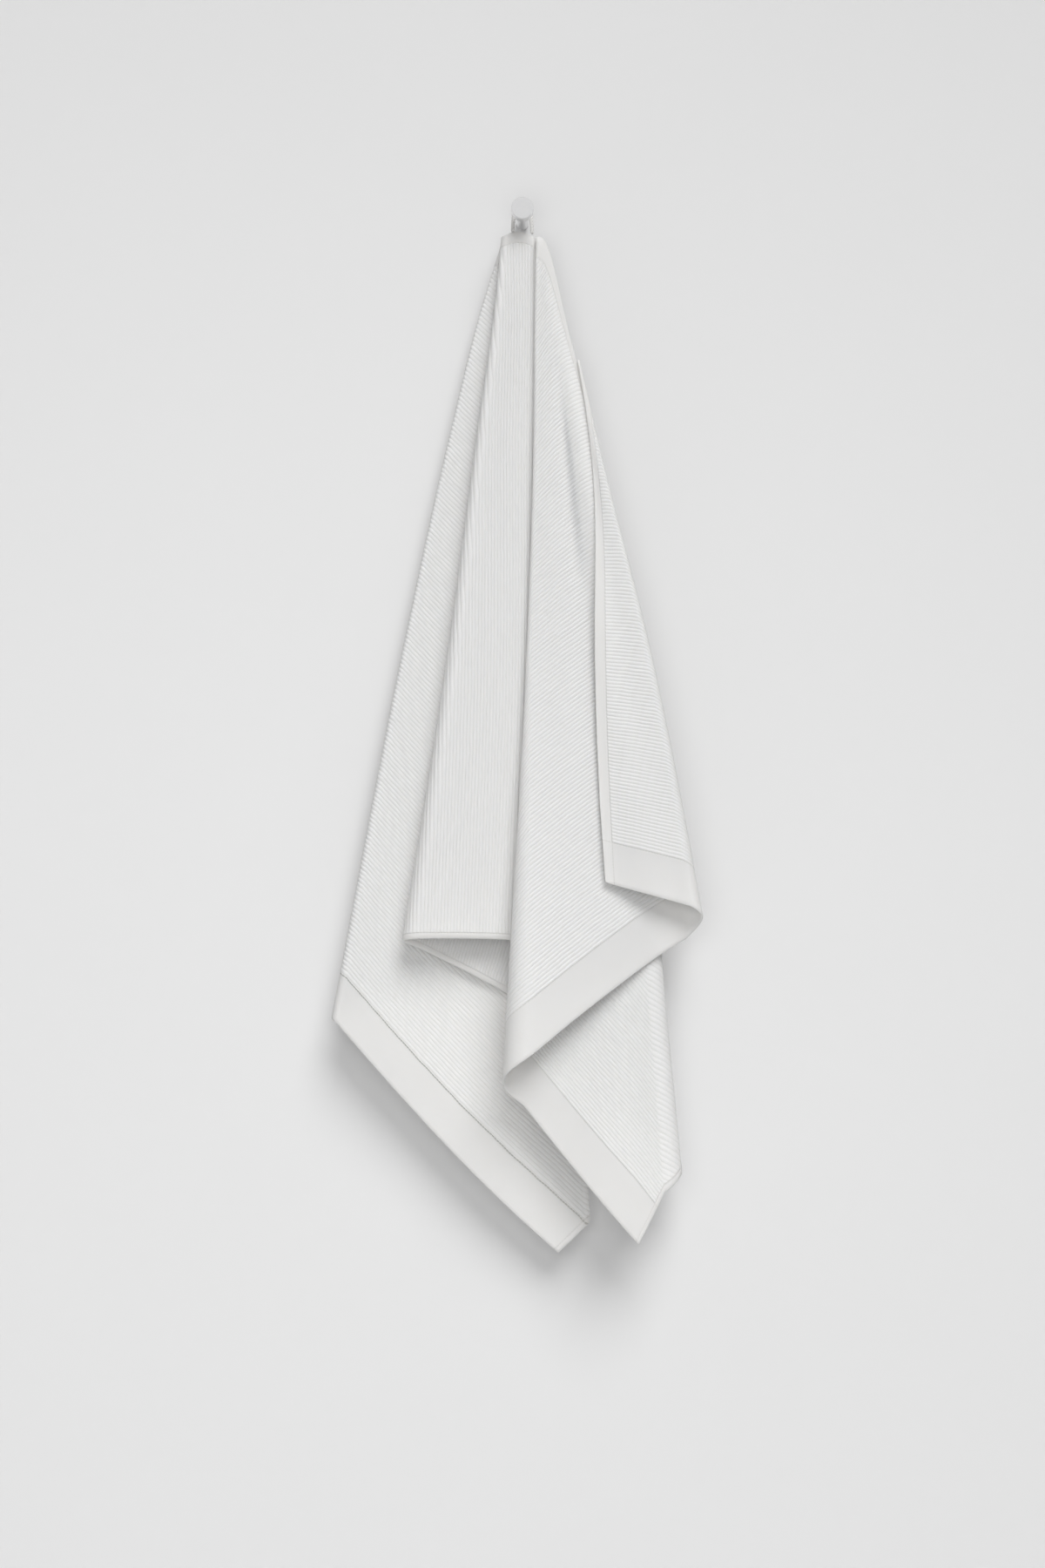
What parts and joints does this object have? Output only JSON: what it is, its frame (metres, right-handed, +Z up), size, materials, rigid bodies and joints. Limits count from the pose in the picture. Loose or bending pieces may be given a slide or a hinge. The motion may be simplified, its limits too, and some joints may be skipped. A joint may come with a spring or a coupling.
{
  "type": "bath towel on a wall hook",
  "caption": "Ribbed cotton bath towel with plain woven end bands, hung in loose folds by a sewn loop at the middle of one long side from a plain round metal wall peg.",
  "frame": {"origin": "centre of the peg's flat wall face", "axes": "+Z up, +Y into the wall, the towel hangs on the -Y side and is seen from -Y in the picture"},
  "size_m": [0.3664, 0.1217, 1.0447],
  "materials": {
    "towel_cotton": "white ribbed cotton with plain woven end bands",
    "loop_cotton": "twisted white cotton cord",
    "peg_metal": "satin turned metal"
  },
  "bodies": {
    "root": {"towel": "towel_cotton", "hanging_loop": "loop_cotton", "peg_hook": "peg_metal"}
  },
  "joints": []
}
